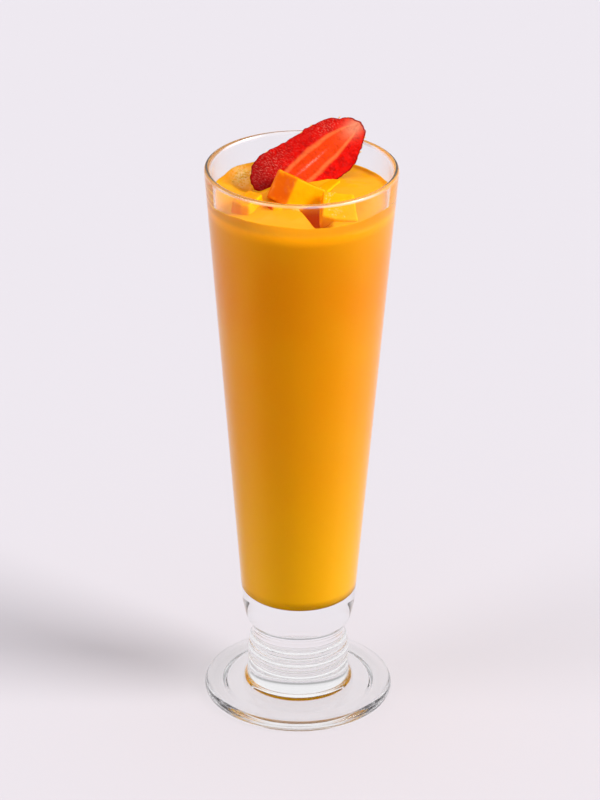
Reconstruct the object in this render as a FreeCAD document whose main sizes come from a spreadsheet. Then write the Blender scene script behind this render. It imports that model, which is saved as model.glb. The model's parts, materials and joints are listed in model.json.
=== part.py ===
"""Mango smoothie in a footed pilsner glass, topped with mango chunks and half a strawberry.

Millimetres, +Z up. The origin is the centre of the foot's underside, so the glass stands on z = 0.
Every size is a cell of the Sizes sheet, and the pieces are bound to those cells by expressions.
"""
import FreeCAD, Part
import Sketcher
import os
import re

# ---------------------------------------------------------------- driving dimensions
GLASS = {
    # foot: a flat ring to stand on round a shallow hollow, and a rounded bead at the edge
    "foot_radius": 36.8,
    "foot_edge_height": 4.0,
    "foot_edge_set_back": 1.3,
    "rest_ring_inset": 2.4,
    "rest_ring_width": 5.0,
    "foot_hollow_depth": 1.5,
    "foot_hollow_slope": 1.8,
    "foot_edge_bulge": 1.75,
    "bead_width": 2.4,
    "bead_bulge": 0.35,
    # the foot's top rises gently and sweeps up into the stem
    "foot_rise": 1.6,
    "foot_sweep_width": 3.0,
    "foot_sweep_height": 2.6,
    "foot_sweep_depth": 0.9,
    # stem: short collar, raised ring, rounded shoulder, waist, solid puck under the bowl
    "stem_radius": 19.9,
    "collar_height": 6.1,
    "collar_taper": 0.3,
    "groove_depth": 0.35,
    "groove_height": 0.6,
    "ring_height": 5.4,
    "ring_bulge": 0.6,
    "shoulder_height": 4.8,
    "shoulder_bulge": 0.5,
    "waist_radius": 18.1,
    "waist_height": 7.6,
    "waist_hollow": 0.8,
    "puck_radius": 20.2,
    "puck_height": 11.2,
    "puck_bulge": 0.35,
    # bowl: a straight cone with a rounded lip
    "bowl_foot_radius": 22.15,
    "bowl_height": 176.9,
    "rim_radius": 36.05,
    "rim_wall": 2.2,
    "lip_bulge": 0.95,
    "foot_wall": 2.7,
    "cavity_floor_rise": 0.2,
    "cavity_corner": 5.2,
}
DRINK = {
    "headroom": 10.6,
    "crown": 1.4,
    "crown_bulge": 0.3,
}
# Each chunk is a block cut from the mango's cheek. Its plan has a front face broken by a ridge, and its
# back corners come in by the two turns. It stands at x, y with its top's middle "rise" above the drink.
# The corner chunk has no x and y of its own: it lies "ahead" of the centre chunk's lower front corner
# and "inside" its left end.
CHUNKS = {
    "centre": {"width": 19.2, "depth": 12.8, "height": 11.5, "ridge_across": -1.6, "ridge": 3.2,
               "left_turn": 0.8, "right_turn": 5.6, "round": 0.7, "x": 0.3, "y": 0.3, "rise": 6.2,
               "yaw": -9.9, "pitch": 22.1, "roll": -24.9},
    "left": {"width": 7.8, "depth": 11.0, "height": 13.0, "ridge_across": 0.8, "ridge": 0.7,
             "left_turn": 0.5, "right_turn": 0.9, "round": 0.9, "x": -19.2, "y": -14.1, "rise": 5.3,
             "yaw": -30.0, "pitch": 3.0, "roll": 3.0},
    "corner": {"width": 4.2, "depth": 7.6, "height": 4.4, "ridge_across": 0.5, "ridge": 0.6,
               "left_turn": 0.6, "right_turn": 0.3, "round": 0.6, "inside": 3.227, "ahead": 1.958,
               "rise": 2.6, "yaw": 29.0, "pitch": 10.0, "roll": -12.0},
    "right": {"width": 13.0, "depth": 15.5, "height": 13.0, "ridge_across": -2.0, "ridge": 0.8,
              "left_turn": 0.4, "right_turn": 0.9, "round": 0.8, "x": 13.9, "y": -16.8, "rise": 3.8,
              "yaw": 2.0, "pitch": 8.0, "roll": 13.0},
    "back": {"width": 5.2, "depth": 11.6, "height": 9.0, "ridge_across": 0.8, "ridge": 0.5,
             "left_turn": 0.8, "right_turn": 0.3, "round": 0.7, "x": 10.2, "y": 4.7, "rise": 2.7,
             "yaw": -28.0, "pitch": 4.0, "roll": 1.0},
}
# The berry lies cut face up and forward. At each station down its length the cut face reaches "left"
# and "right" of the middle line, and the flesh is "thick" behind it.
STATIONS = [
    {"down": -2.0, "left": -1.6, "right": 4.6, "thick": 2.2},
    {"down": 1.2, "left": 2.8, "right": 8.2, "thick": 5.0},
    {"down": 6.0, "left": 6.2, "right": 11.4, "thick": 7.8},
    {"down": 13.0, "left": 7.8, "right": 13.8, "thick": 9.6},
    {"down": 21.0, "left": 9.2, "right": 12.8, "thick": 10.4},
    {"down": 30.0, "left": 11.2, "right": 9.8, "thick": 10.2},
    {"down": 37.0, "left": 12.0, "right": 6.2, "thick": 8.8},
    {"down": 42.0, "left": 10.2, "right": 2.6, "thick": 6.4},
    {"down": 45.0, "left": 6.6, "right": -1.6, "thick": 3.0},
]
BERRY = {"x": 18.4, "y": 24.2, "rise": 20.2, "yaw": -26.4, "pitch": 42.6, "roll": 42.9}

SIZES = dict(GLASS)
SIZES.update(DRINK)
for chunk_name, chunk in CHUNKS.items():
    SIZES.update({f"{chunk_name}_{size}": value for size, value in chunk.items()})
for number, station in enumerate(STATIONS):
    SIZES.update({f"berry_{size}_{number}": value for size, value in station.items()})
SIZES.update({f"berry_{size}": value for size, value in BERRY.items()})

doc = FreeCAD.newDocument("MangoSmoothie")
sheet = doc.addObject("Spreadsheet::Sheet", "Sizes")
for row, (alias, value) in enumerate(SIZES.items(), start=1):
    sheet.set(f"A{row}", alias)
    sheet.set(f"B{row}", str(value))
    sheet.setAlias(f"B{row}", alias)
doc.recompute()


def bound(text):
    """Expression for FreeCAD: every size's name in the text becomes a reference to its cell."""
    return re.sub(r"[a-z_]+(?:_\d+)?",
                  lambda word: f"Sizes.{word[0]}" if word[0] in SIZES else word[0], text)


def number_of(text):
    """The value that an expression has now."""
    return float(sheet.evalExpression(bound(text)))


# ---------------------------------------------------------------- heights that the pieces share
FOOT_TOP = "foot_edge_height"
SWEEP_FOOT = f"({FOOT_TOP} + foot_rise)"
COLLAR_FOOT = f"({SWEEP_FOOT} + foot_sweep_height)"
COLLAR_TOP = f"({COLLAR_FOOT} + collar_height)"
RING_FOOT = f"({COLLAR_TOP} + groove_height)"
RING_TOP = f"({RING_FOOT} + ring_height)"
WAIST_FOOT = f"({RING_TOP} + shoulder_height)"
PUCK_FOOT = f"({WAIST_FOOT} + waist_height)"
BOWL_FOOT = f"({PUCK_FOOT} + puck_height)"
LIP = f"({BOWL_FOOT} + bowl_height)"
FLOOR = f"({BOWL_FOOT} + cavity_floor_rise)"
CORNER_TOP = f"({FLOOR} + cavity_corner)"
LEVEL = f"({LIP} - headroom)"
# radii of the cavity at its foot, its lip and the drink's edge
CAVITY_FOOT_RADIUS = "(bowl_foot_radius - foot_wall)"
CAVITY_LIP_RADIUS = "(rim_radius - rim_wall)"
LEVEL_RADIUS = (f"({CAVITY_FOOT_RADIUS} + ({CAVITY_LIP_RADIUS} - {CAVITY_FOOT_RADIUS})"
                f" * ({LEVEL} - {CORNER_TOP}) / ({LIP} - {CORNER_TOP}))")
CORNER_BULGE = "cavity_corner * (1 - sqrt(0.5))"
# the centre chunk's lower front corner, which its two turns carry to the left and forward
CENTRE_END = "(centre_x - centre_width / 2 - centre_height * sin(centre_pitch * 1 deg))"
CENTRE_FRONT = "(centre_y - centre_depth / 2 + centre_height * sin(centre_roll * 1 deg))"


def origin_plane(body, role):
    """One of the body's own origin planes."""
    return next(plane for plane in body.Origin.OriginFeatures if plane.Role == role)


def outline(body, role, points):
    """Sketch of a closed outline on one of the body's origin planes.

    A point is (across, up) or (across, up, bulge), as expressions. The bulge makes the edge that
    leads to the point an arc: it is the arc's height over its chord, positive away from the inside
    of an outline that runs anticlockwise.
    """
    sketch = body.newObject("Sketcher::SketchObject", body.Name + "_outline")
    sketch.AttachmentSupport = [(origin_plane(body, role), "")]
    sketch.MapMode = "FlatFace"
    places = [FreeCAD.Vector(number_of(point[0]), number_of(point[1]), 0) for point in points]
    ends = []
    for index, point in enumerate(points):
        start, end = places[index - 1], places[index]
        if len(point) == 2:
            sketch.addGeometry(Part.LineSegment(start, end), False)
            ends.append((1, 2))
            continue
        bulge = number_of(point[2])
        chord = end - start
        outward = FreeCAD.Vector(chord.y, -chord.x, 0).normalize()
        radius = (chord.Length ** 2 / 4 + bulge ** 2) / (2 * abs(bulge))
        side = 1 if bulge > 0 else -1
        centre = (start + end) * 0.5 - outward * side * (radius - abs(bulge))
        first, last = (start, end) if side > 0 else (end, start)
        angles = [(corner - centre).getAngle(FreeCAD.Vector(1, 0, 0)) for corner in (first, last)]
        angles = [angle if corner.y >= centre.y else -angle for angle, corner in zip(angles, (first, last))]
        circle = Part.Circle(centre, FreeCAD.Vector(0, 0, 1), radius)
        sketch.addGeometry(Part.ArcOfCircle(circle, angles[0], angles[1]), False)
        ends.append((1, 2) if side > 0 else (2, 1))
    for index, point in enumerate(points):
        follower = (index + 1) % len(points)
        sketch.addConstraint(Sketcher.Constraint("Coincident", index, ends[index][1],
                                                 follower, ends[follower][0]))
        for kind, text in (("DistanceX", point[0]), ("DistanceY", point[1])):
            if text == "0":
                axis = -2 if kind == "DistanceX" else -1
                sketch.addConstraint(Sketcher.Constraint("PointOnObject", index, ends[index][1], axis))
                continue
            place = sketch.addConstraint(Sketcher.Constraint(kind, -1, 1, index, ends[index][1],
                                                             number_of(text)))
            sketch.setExpression(f"Constraints[{place}]", bound(text))
        if len(point) == 3:
            before = points[index - 1]
            chord_squared = f"(({point[0]} - {before[0]})^2 + ({point[1]} - {before[1]})^2)"
            radius = f"({chord_squared} / 4 + ({point[2]})^2) / (2 * abs({point[2]}))"
            place = sketch.addConstraint(Sketcher.Constraint("Radius", index, number_of(radius)))
            sketch.setExpression(f"Constraints[{place}]", bound(radius))
    return sketch


def turned(label, points):
    """A piece turned about the Z axis from the half outline that its points give."""
    body = doc.addObject("PartDesign::Body", label)
    body.Label = label
    sketch = outline(body, "XZ_Plane", points)
    turn = body.newObject("PartDesign::Revolution", label + "_turn")
    turn.Profile = sketch
    turn.ReferenceAxis = (sketch, ["V_Axis"])
    turn.Angle = 360
    return body


def glass():
    """One piece of pressed glass: foot, stem, solid puck and thin bowl in a single outline."""
    rest_outer = "(foot_radius - rest_ring_inset)"
    rest_inner = f"({rest_outer} - rest_ring_width)"
    bead_radius = "(foot_radius - foot_edge_set_back)"
    return turned("glass", [
        ("0", "foot_hollow_depth"),
        (f"{rest_inner} - foot_hollow_slope", "foot_hollow_depth"),
        (rest_inner, "0"),
        (rest_outer, "0"),
        (bead_radius, FOOT_TOP, "foot_edge_bulge"),
        (f"{bead_radius} - bead_width", FOOT_TOP, "bead_bulge"),
        ("stem_radius + foot_sweep_width", SWEEP_FOOT),
        ("stem_radius", COLLAR_FOOT, "-foot_sweep_depth"),
        ("stem_radius - collar_taper", COLLAR_TOP),
        ("stem_radius - collar_taper - groove_depth", RING_FOOT),
        ("stem_radius - collar_taper - groove_depth", RING_TOP, "ring_bulge"),
        ("waist_radius", WAIST_FOOT, "shoulder_bulge"),
        ("puck_radius", PUCK_FOOT, "-waist_hollow"),
        ("bowl_foot_radius", BOWL_FOOT, "puck_bulge"),
        ("rim_radius", LIP),
        (CAVITY_LIP_RADIUS, LIP, "lip_bulge"),
        (CAVITY_FOOT_RADIUS, CORNER_TOP),
        (f"{CAVITY_FOOT_RADIUS} - cavity_corner", FLOOR, f"-{CORNER_BULGE}"),
        ("0", FLOOR),
    ])


def drink():
    """What the cavity holds up to the drink's edge, with a slight crown, before the garnish sinks in."""
    return turned("drink_fill", [
        ("0", FLOOR),
        (f"{CAVITY_FOOT_RADIUS} - cavity_corner", FLOOR),
        (CAVITY_FOOT_RADIUS, CORNER_TOP, CORNER_BULGE),
        (LEVEL_RADIUS, LEVEL),
        ("0", f"{LEVEL} + crown", "crown_bulge"),
    ])


def stand(piece, name):
    """Bind a garnish's Placement: its place across the glass, its rise over the drink, its three turns."""
    place = f"{name}_x; {name}_y" if f"{name}_x" in SIZES else (
        f"{CENTRE_END} + {name}_inside; {CENTRE_FRONT} - {name}_ahead")
    piece.setExpression("Placement", bound(
        f"create(<<placement>>; create(<<vector>>; {place}; {LEVEL} + {name}_rise);"
        f" create(<<rotation>>; {name}_yaw; {name}_pitch; {name}_roll))"))


def mango_chunk(name):
    """A block with rounded edges, hanging down from its top face."""
    body = doc.addObject("PartDesign::Body", "mango_chunk_" + name)
    body.Label = "mango_chunk_" + name
    half_width, half_depth = f"{name}_width / 2", f"{name}_depth / 2"
    sketch = outline(body, "XY_Plane", [
        (f"-{half_width}", f"-{half_depth}"),
        (f"{name}_ridge_across", f"-{half_depth} - {name}_ridge"),
        (half_width, f"-{half_depth}"),
        (f"{half_width} - {name}_right_turn", half_depth),
        (f"-{half_width} + {name}_left_turn", half_depth),
    ])
    block = body.newObject("PartDesign::Pad", name + "_block")
    block.Profile = sketch
    block.setExpression("Length", bound(f"{name}_height"))
    block.Reversed = True
    doc.recompute()
    edges = body.newObject("PartDesign::Fillet", name + "_edges")
    edges.Base = (block, [f"Edge{index + 1}" for index in range(len(block.Shape.Edges))])
    edges.setExpression("Radius", bound(f"{name}_round"))
    stand(body, name)
    return body


def strawberry_half():
    """Uneven half berry: a loft through one arch for each station, closed by the flat cut face."""
    arches = []
    for index in range(len(STATIONS)):
        down, left, right, thick = (sheet.get(f"berry_{size}_{index}")
                                    for size in ("down", "left", "right", "thick"))
        corners = [FreeCAD.Vector(-left, -down, 0), FreeCAD.Vector((right - left) / 2, -down, -thick),
                   FreeCAD.Vector(right, -down, 0)]
        arches.append(Part.Wire([Part.Arc(*corners).toShape(), Part.makeLine(corners[2], corners[0])]))
    piece = doc.addObject("Part::Feature", "strawberry_half")
    piece.Label = "strawberry_half"
    piece.Shape = Part.makeLoft(arches, True)
    stand(piece, "berry")
    return piece


glass_piece = glass()
fill = drink()
garnish = [mango_chunk(name) for name in CHUNKS] + [strawberry_half()]
doc.recompute()
sunk = doc.addObject("Part::MultiFuse", "garnish_together")
sunk.Shapes = garnish
smoothie = doc.addObject("Part::Cut", "smoothie")
smoothie.Label = "smoothie"
smoothie.Base = fill
smoothie.Tool = sunk
doc.recompute()

# ---------------------------------------------------------------- check and write
for thing in doc.Objects:
    if "Invalid" in thing.State or "Error" in thing.State:
        raise RuntimeError(f"{thing.Label} failed: {thing.State}")
pieces = [glass_piece, smoothie] + garnish
for piece in pieces:
    if piece.Shape.isNull() or not piece.Shape.isValid() or len(piece.Shape.Solids) != 1:
        raise RuntimeError(f"{piece.Label} isn't one valid solid")
os.makedirs("parts", exist_ok=True)
for piece in pieces:
    piece.Shape.exportStep(f"parts/{piece.Label}.step")
    box = piece.Shape.BoundBox
    print(f"{piece.Label}: {piece.Shape.Volume / 1000:.1f} cm3, {box.XLength:.1f} x {box.YLength:.1f} x"
          f" {box.ZLength:.1f} mm, top {box.ZMax:.1f}")
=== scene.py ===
import json
import math
import random

import bmesh
import bpy
import numpy as np
from mathutils import Euler, Matrix, Vector, noise
from mathutils.bvhtree import BVHTree

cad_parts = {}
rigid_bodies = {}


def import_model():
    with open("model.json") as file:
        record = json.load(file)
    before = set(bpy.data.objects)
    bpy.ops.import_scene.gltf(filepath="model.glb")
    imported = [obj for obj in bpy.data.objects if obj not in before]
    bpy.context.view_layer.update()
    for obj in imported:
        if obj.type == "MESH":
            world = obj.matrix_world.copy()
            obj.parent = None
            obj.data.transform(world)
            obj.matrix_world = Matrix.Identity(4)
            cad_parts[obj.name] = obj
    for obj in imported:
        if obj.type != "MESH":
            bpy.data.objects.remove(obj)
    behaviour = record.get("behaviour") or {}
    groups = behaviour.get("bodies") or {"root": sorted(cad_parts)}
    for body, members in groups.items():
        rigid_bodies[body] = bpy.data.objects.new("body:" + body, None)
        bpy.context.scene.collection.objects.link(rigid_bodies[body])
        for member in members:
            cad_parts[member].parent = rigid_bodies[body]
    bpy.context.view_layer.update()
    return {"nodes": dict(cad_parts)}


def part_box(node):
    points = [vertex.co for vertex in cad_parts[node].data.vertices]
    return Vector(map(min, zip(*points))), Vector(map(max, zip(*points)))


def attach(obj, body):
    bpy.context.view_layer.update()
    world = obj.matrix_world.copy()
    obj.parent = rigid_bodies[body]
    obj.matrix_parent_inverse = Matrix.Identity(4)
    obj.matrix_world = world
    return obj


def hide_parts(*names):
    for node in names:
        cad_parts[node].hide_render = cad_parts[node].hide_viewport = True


# A tall footed glass of thick mango smoothie with mango chunks and half a strawberry on top.
# Metres, +Z up, the foot's underside at z = 0, and -Y towards the side that the berry's cut face looks at.
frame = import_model()
scene = bpy.context.scene
MM = 0.001

# ---------------------------------------------------------------- camera
# A long lens that looks down on the glass from the front, as for a menu card. It leans a hair to one side.
CAMERA_PLACE = (0.0, -1.2564, 0.754)
CAMERA_DIP = math.radians(26.57)
CAMERA_LEAN = math.radians(0.41)
CAMERA_LENS = 166.4

lens = bpy.data.cameras.new("camera")
lens.sensor_width = 36.0
lens.lens = CAMERA_LENS
lens.clip_start = 0.05
camera = bpy.data.objects.new("camera", lens)
scene.collection.objects.link(camera)
camera.matrix_world = (Matrix.Translation(CAMERA_PLACE)
                       @ Matrix.Rotation(math.pi / 2 - CAMERA_DIP, 4, "X")
                       @ Matrix.Rotation(CAMERA_LEAN, 4, "Z"))
scene.camera = camera

# ---------------------------------------------------------------- table and light
# A sheet of pale lilac paper, a large soft lamp at the right, a little in front, and a weaker one at the left.
# The room has two sets of tones, from straight down (0) to straight up (1): a bright one that is seen, also
# through glass and in gloss, and a dimmer one that lights things, which keeps the fruit's colours deep.
FLOOR_HALF = 4.0
FLOOR_COLOUR = (0.512, 0.488, 0.522, 1)
LAMPS = {
    # name: (degrees round from +X, degrees up, strength, width in degrees, colour)
    "lamp_right": (-18.0, 36.0, 3.5, 26.0, (1.0, 0.995, 0.98)),
    "lamp_left": (-160.0, 30.0, 1.3, 34.0, (0.985, 0.99, 1.0)),
}
SEEN_ROOM = [
    (0.0, (0.62, 0.61, 0.63, 1)), (0.46, (0.55, 0.54, 0.56, 1)), (0.5, (0.12, 0.12, 0.12, 1)),
    (0.55, (0.66, 0.65, 0.67, 1)), (0.6, (0.30, 0.30, 0.30, 1)), (0.66, (0.78, 0.77, 0.79, 1)),
    (0.85, (0.98, 0.97, 0.99, 1)),
]
LIGHTING_ROOM = [
    (0.0, (0.34, 0.34, 0.34, 1)), (0.5, (0.34, 0.34, 0.34, 1)), (0.75, (0.52, 0.517, 0.526, 1)),
    (0.92, (1.10, 1.093, 1.114, 1)),
]


class Wire:
    """An output of one of a finish's nodes. Sums and products on it add the Math nodes."""

    def __init__(self, finish, socket):
        self.finish = finish
        self.socket = socket

    def other(self, name):
        """Another output of the same node."""
        return Wire(self.finish, self.socket.node.outputs[name])

    def __add__(self, value):
        return self.finish.maths("ADD", self, value)

    def __sub__(self, value):
        return self.finish.maths("SUBTRACT", self, value)

    def __rsub__(self, value):
        return self.finish.maths("SUBTRACT", value, self)

    def __mul__(self, value):
        return self.finish.maths("MULTIPLY", self, value)

    def __truediv__(self, value):
        return self.finish.maths("DIVIDE", self, value)

    __radd__ = __add__
    __rmul__ = __mul__


class Finish:
    """A material, or the room round the table, with the few ways of adding nodes that the sections use."""

    def __init__(self, name, kept_in=bpy.data.materials, end="ShaderNodeOutputMaterial"):
        self.material = kept_in.new(name)
        self.material.use_nodes = True
        self.tree = self.material.node_tree
        self.tree.nodes.clear()
        self.end = self.tree.nodes.new(end)

    def node(self, kind, settings=None, values=None, output=0):
        """A node of any type: its settings first, then the values or wires of its sockets."""
        node = self.tree.nodes.new(kind)
        for name, setting in (settings or {}).items():
            if name == "stops":
                while len(node.color_ramp.elements) < len(setting):
                    node.color_ramp.elements.new(1.0)
                for element, (place, colour) in zip(node.color_ramp.elements, setting):
                    element.position = place
                    element.color = colour
            else:
                setattr(node, name, setting)
        for name, value in (values or {}).items():
            if isinstance(value, Wire):
                self.tree.links.new(value.socket, node.inputs[name])
            else:
                node.inputs[name].default_value = value
        return Wire(self, node.outputs[output])

    def maths(self, operation, first, second=0.0):
        return self.node("ShaderNodeMath", {"operation": operation}, {0: first, 1: second})

    def mix(self, share, first, second):
        """From one colour to another, by a share from 0 to 1."""
        return self.node("ShaderNodeMix", {"data_type": "RGBA"}, {0: share, 6: first, 7: second}, 2)

    def ease(self, value, low, high):
        """0 where the value is at low or past it, 1 at high, with a soft start and end."""
        return self.node("ShaderNodeMapRange", {"interpolation_type": "SMOOTHSTEP"},
                         {0: value, 1: low, 2: high, 3: 0.0, 4: 1.0})

    def place(self):
        """Where a point is, in metres."""
        return self.node("ShaderNodeTexCoord", output="Object")

    def stretched(self, scale, turn=(0, 0, 0)):
        """Where a point is, with the pattern drawn out along the piece."""
        return self.node("ShaderNodeMapping", {}, {"Vector": self.place(), "Rotation": turn, "Scale": scale})

    def grain(self, scale, detail=3.0, where=None, roughness=0.55):
        """Cloudy noise from 0 to 1. The scale is in spots for each metre."""
        return self.node("ShaderNodeTexNoise", {"noise_dimensions": "3D"},
                         {"Vector": where or self.place(), "Scale": scale, "Detail": detail,
                          "Roughness": roughness})

    def bump(self, height, depth, under=None):
        """Relief from a wire. The depth is in metres for a height of 1."""
        values = {"Height": height, "Distance": depth, "Strength": 1.0}
        if under is not None:
            values["Normal"] = under
        return self.node("ShaderNodeBump", {}, values, "Normal")

    def surface(self, values):
        """The Principled shader with these sockets, joined to the output."""
        shader = self.node("ShaderNodeBsdfPrincipled", {}, values)
        self.tree.links.new(shader.socket, self.end.inputs["Surface"])
        return shader


def paper_finish():
    """Matt paper with a faint cloudiness and tooth."""
    finish = Finish("paper")
    cloud = finish.grain(3.0)
    colour = finish.mix(cloud, FLOOR_COLOUR, tuple(c * 0.985 for c in FLOOR_COLOUR[:3]) + (1,))
    finish.surface({"Base Color": colour, "Roughness": finish.grain(40.0) * 0.1 + 0.75,
                    "Specular IOR Level": 0.2, "Normal": finish.bump(finish.grain(900.0), 0.00002)})
    return finish.material


floor_mesh = bpy.data.meshes.new("floor")
floor_corners = ((-1, -1), (1, -1), (1, 1), (-1, 1))
floor_mesh.from_pydata([(x * FLOOR_HALF, y * FLOOR_HALF, 0.0) for x, y in floor_corners], [], [(0, 1, 2, 3)])
floor = bpy.data.objects.new("floor", floor_mesh)
scene.collection.objects.link(floor)
floor_mesh.materials.append(paper_finish())

for name, (around, up, strength, width, colour) in LAMPS.items():
    lamp = bpy.data.lights.new(name, "SUN")
    lamp.energy = strength
    lamp.angle = math.radians(width)
    lamp.color = colour
    holder = bpy.data.objects.new(name, lamp)
    scene.collection.objects.link(holder)
    towards = Euler((0, -math.radians(up), math.radians(around))).to_matrix() @ Vector((1, 0, 0))
    holder.rotation_euler = towards.to_track_quat("Z", "Y").to_euler()

room = Finish("studio", bpy.data.worlds, "ShaderNodeOutputWorld")
towards = room.node("ShaderNodeTexCoord", output="Generated")
towards_up = room.node("ShaderNodeSeparateXYZ", {}, {0: towards}, "Z")
band = room.node("ShaderNodeMapRange", {}, {"Value": towards_up, "From Min": -1.0, "From Max": 1.0})
bounced = room.maths("MINIMUM", room.node("ShaderNodeLightPath", output="Diffuse Depth"), 1.0)
seen = room.node("ShaderNodeValToRGB", {"stops": SEEN_ROOM}, {"Fac": band}, "Color")
lighting = room.node("ShaderNodeValToRGB", {"stops": LIGHTING_ROOM}, {"Fac": band}, "Color")
glow = room.node("ShaderNodeBackground", {}, {"Color": room.mix(bounced, seen, lighting)})
room.tree.links.new(glow.socket, room.end.inputs["Surface"])
scene.world = room.material

scene.view_settings.view_transform = "Standard"
scene.view_settings.look = "None"
scene.cycles.use_denoising = True
scene.cycles.max_bounces = 20
scene.cycles.diffuse_bounces = 5
scene.cycles.glossy_bounces = 8
scene.cycles.transmission_bounces = 16
scene.cycles.transparent_max_bounces = 24
scene.cycles.sample_clamp_indirect = 2.5

# ---------------------------------------------------------------- glass
# One piece of clear pressed glass: a wide foot, a short ringed stem, a solid puck and a thin straight bowl.
# It is pressed in a turned mould, so the outline is spun round the axis and every corner is a little soft.
LIP_BULGE = 0.95 * MM
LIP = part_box("glass")[1].z - LIP_BULGE
RIM_RADIUS = 36.05 * MM
RIM_WALL = 2.2 * MM
LIP_INNER = RIM_RADIUS - RIM_WALL
FLOOR_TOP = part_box("smoothie")[0].z
FLOOR_RADIUS = 19.45 * MM
FLOOR_CORNER = 5.2 * MM
CORNER_BULGE = FLOOR_CORNER * (1 - math.sqrt(0.5))
COLLAR_FOOT = 5.6 * MM
COLLAR_HEAD = 8.2 * MM
GLASS_SIDES = 256
GLASS_OUTLINE = [
    # hollow under the foot and the ring that it stands on
    (0.0, 1.5 * MM), (27.6 * MM, 1.5 * MM), (29.4 * MM, 0.0), (34.4 * MM, 0.0),
    # rounded edge of the foot and its bead
    (35.5 * MM, 4.0 * MM, 1.75 * MM), (33.1 * MM, 4.0 * MM, 0.35 * MM),
    # the foot's top, swept up into the stem's collar
    (22.9 * MM, COLLAR_FOOT), (19.9 * MM, COLLAR_HEAD, -0.9 * MM), (19.6 * MM, 14.3 * MM),
    # groove, ring and shoulder
    (19.25 * MM, 14.9 * MM), (19.25 * MM, 20.3 * MM, 0.6 * MM), (18.1 * MM, 25.1 * MM, 0.5 * MM),
    # waist, solid puck, straight bowl and rounded lip
    (20.2 * MM, 32.7 * MM, -0.8 * MM), (22.15 * MM, 43.9 * MM, 0.35 * MM), (RIM_RADIUS, LIP),
    (LIP_INNER, LIP, LIP_BULGE),
    # inside of the bowl down to its floor
    (FLOOR_RADIUS, FLOOR_TOP + FLOOR_CORNER), (FLOOR_RADIUS - FLOOR_CORNER, FLOOR_TOP, -CORNER_BULGE),
    (0.0, FLOOR_TOP),
]


def drawn(outline, step=0.5 * MM, softness=0.4 * MM):
    """Points along an outline of (across, up) or (across, up, bulge) corners. A bulge makes the edge that
    leads to its point an arc of that height, and every corner that shows is rounded off."""
    line = [Vector(outline[0])]
    for corner in outline[1:]:
        start, end = line[-1], Vector(corner[:2])
        chord = end - start
        if len(corner) == 3:
            bulge = abs(corner[2])
            outward = Vector((chord.y, -chord.x)).normalized() * math.copysign(1.0, corner[2])
            radius = (chord.length ** 2 / 4 + bulge ** 2) / (2 * bulge)
            half_turn = 2 * math.atan(2 * bulge / chord.length)
            steps = max(4, round(chord.length / step))
            for index in range(1, steps):
                angle = half_turn * (2 * index / steps - 1)
                line.append((start + end) / 2 + chord.normalized() * radius * math.sin(angle)
                            + outward * (radius * math.cos(angle) - radius + bulge))
        line.append(end)
    soft = [line[0]]
    for before, corner, after in zip(line, line[1:], line[2:]):
        into, out = corner - before, after - corner
        if into.angle(out) < math.radians(14):
            soft.append(corner)
            continue
        start = corner - into.normalized() * min(softness, into.length * 0.45)
        end = corner + out.normalized() * min(softness, out.length * 0.45)
        for share in (0.0, 0.25, 0.5, 0.75, 1.0):
            soft.append(start.lerp(corner, share).lerp(corner.lerp(end, share), share))
    return soft + [line[-1]]


def turning_tree():
    """Geometry Nodes that spin an outline, drawn in the XZ plane, round the Z axis."""
    tree = bpy.data.node_groups.new("turning", "GeometryNodeTree")
    tree.interface.new_socket("Outline", in_out="INPUT", socket_type="NodeSocketGeometry")
    tree.interface.new_socket("Sides", in_out="INPUT", socket_type="NodeSocketInt")
    tree.interface.new_socket("Path radius", in_out="INPUT", socket_type="NodeSocketFloat")
    tree.interface.new_socket("Finish", in_out="INPUT", socket_type="NodeSocketMaterial")
    tree.interface.new_socket("Piece", in_out="OUTPUT", socket_type="NodeSocketGeometry")
    add, link = tree.nodes.new, tree.links.new
    start, end = add("NodeGroupInput"), add("NodeGroupOutput")
    inward = add("ShaderNodeMath")
    inward.operation = "MULTIPLY"
    inward.inputs[1].default_value = -1.0
    shift = add("ShaderNodeCombineXYZ")
    lay = add("GeometryNodeTransform")
    lay.inputs["Rotation"].default_value = (math.pi / 2, 0, 0)
    profile = add("GeometryNodeMeshToCurve")
    path = add("GeometryNodeCurvePrimitiveCircle")
    sweep = add("GeometryNodeCurveToMesh")
    weld = add("GeometryNodeMergeByDistance")
    weld.inputs["Distance"].default_value = 0.002 * MM
    smooth = add("GeometryNodeSetShadeSmooth")
    realize = add("GeometryNodeRealizeInstances")
    paint = add("GeometryNodeSetMaterial")
    link(start.outputs["Path radius"], inward.inputs[0])
    link(inward.outputs[0], shift.inputs["X"])
    link(shift.outputs[0], lay.inputs["Translation"])
    link(start.outputs["Outline"], lay.inputs["Geometry"])
    link(lay.outputs[0], profile.inputs["Mesh"])
    link(start.outputs["Sides"], path.inputs["Resolution"])
    link(start.outputs["Path radius"], path.inputs["Radius"])
    link(path.outputs["Curve"], sweep.inputs["Curve"])
    link(profile.outputs["Curve"], sweep.inputs["Profile Curve"])
    link(sweep.outputs["Mesh"], weld.inputs["Geometry"])
    link(weld.outputs[0], smooth.inputs["Geometry"])
    link(smooth.outputs[0], realize.inputs[0])
    link(realize.outputs[0], paint.inputs["Geometry"])
    link(start.outputs["Finish"], paint.inputs["Material"])
    link(paint.outputs[0], end.inputs["Piece"])
    return tree


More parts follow.
